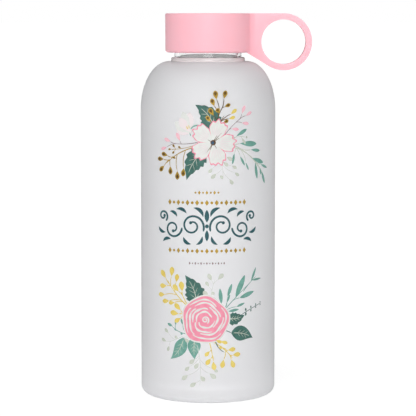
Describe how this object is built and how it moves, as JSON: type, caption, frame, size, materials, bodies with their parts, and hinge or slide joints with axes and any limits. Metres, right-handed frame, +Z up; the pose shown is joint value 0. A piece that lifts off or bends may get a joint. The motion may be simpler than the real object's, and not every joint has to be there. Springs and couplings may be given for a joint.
{
  "type": "water bottle",
  "caption": "Frosted glass water bottle with a domed shoulder, printed flowers, and a screw cap that has a finger loop at its side.",
  "frame": {"origin": "on the bottle's axis, in the plane that its foot stands on", "axes": "+Z up along the bottle's axis, +X towards the cap's loop when the cap is closed, +Y along the loop's hole, away from the printed side"},
  "size_m": [0.0964, 0.0762, 0.2153],
  "materials": {
    "frosted_glass": "frosted outside up to the collar, clear at the neck",
    "shell_plastic": "satin",
    "liner_plastic": "satin",
    "silicone": "matt, milky"
  },
  "bodies": {
    "bottle": {"bottle": "frosted_glass"},
    "seal": {"seal_gasket": "silicone"},
    "cap": {"cap_shell": "shell_plastic", "cap_liner": "liner_plastic"}
  },
  "joints": [
    {"name": "cap_lift", "type": "slide", "parent": "bottle", "child": "seal", "axis": [0, 0, 1], "range_m": [0, 0.022]},
    {"name": "cap_turn", "type": "hinge", "parent": "seal", "child": "cap", "pos_m": [0, 0, 0.2], "axis": [0, 0, 1], "range_deg": [0, 1980]}
  ],
  "couplings": [
    {"joint": "cap_lift", "follows": "cap_turn", "m_per_rad": 0.00063661}
  ]
}
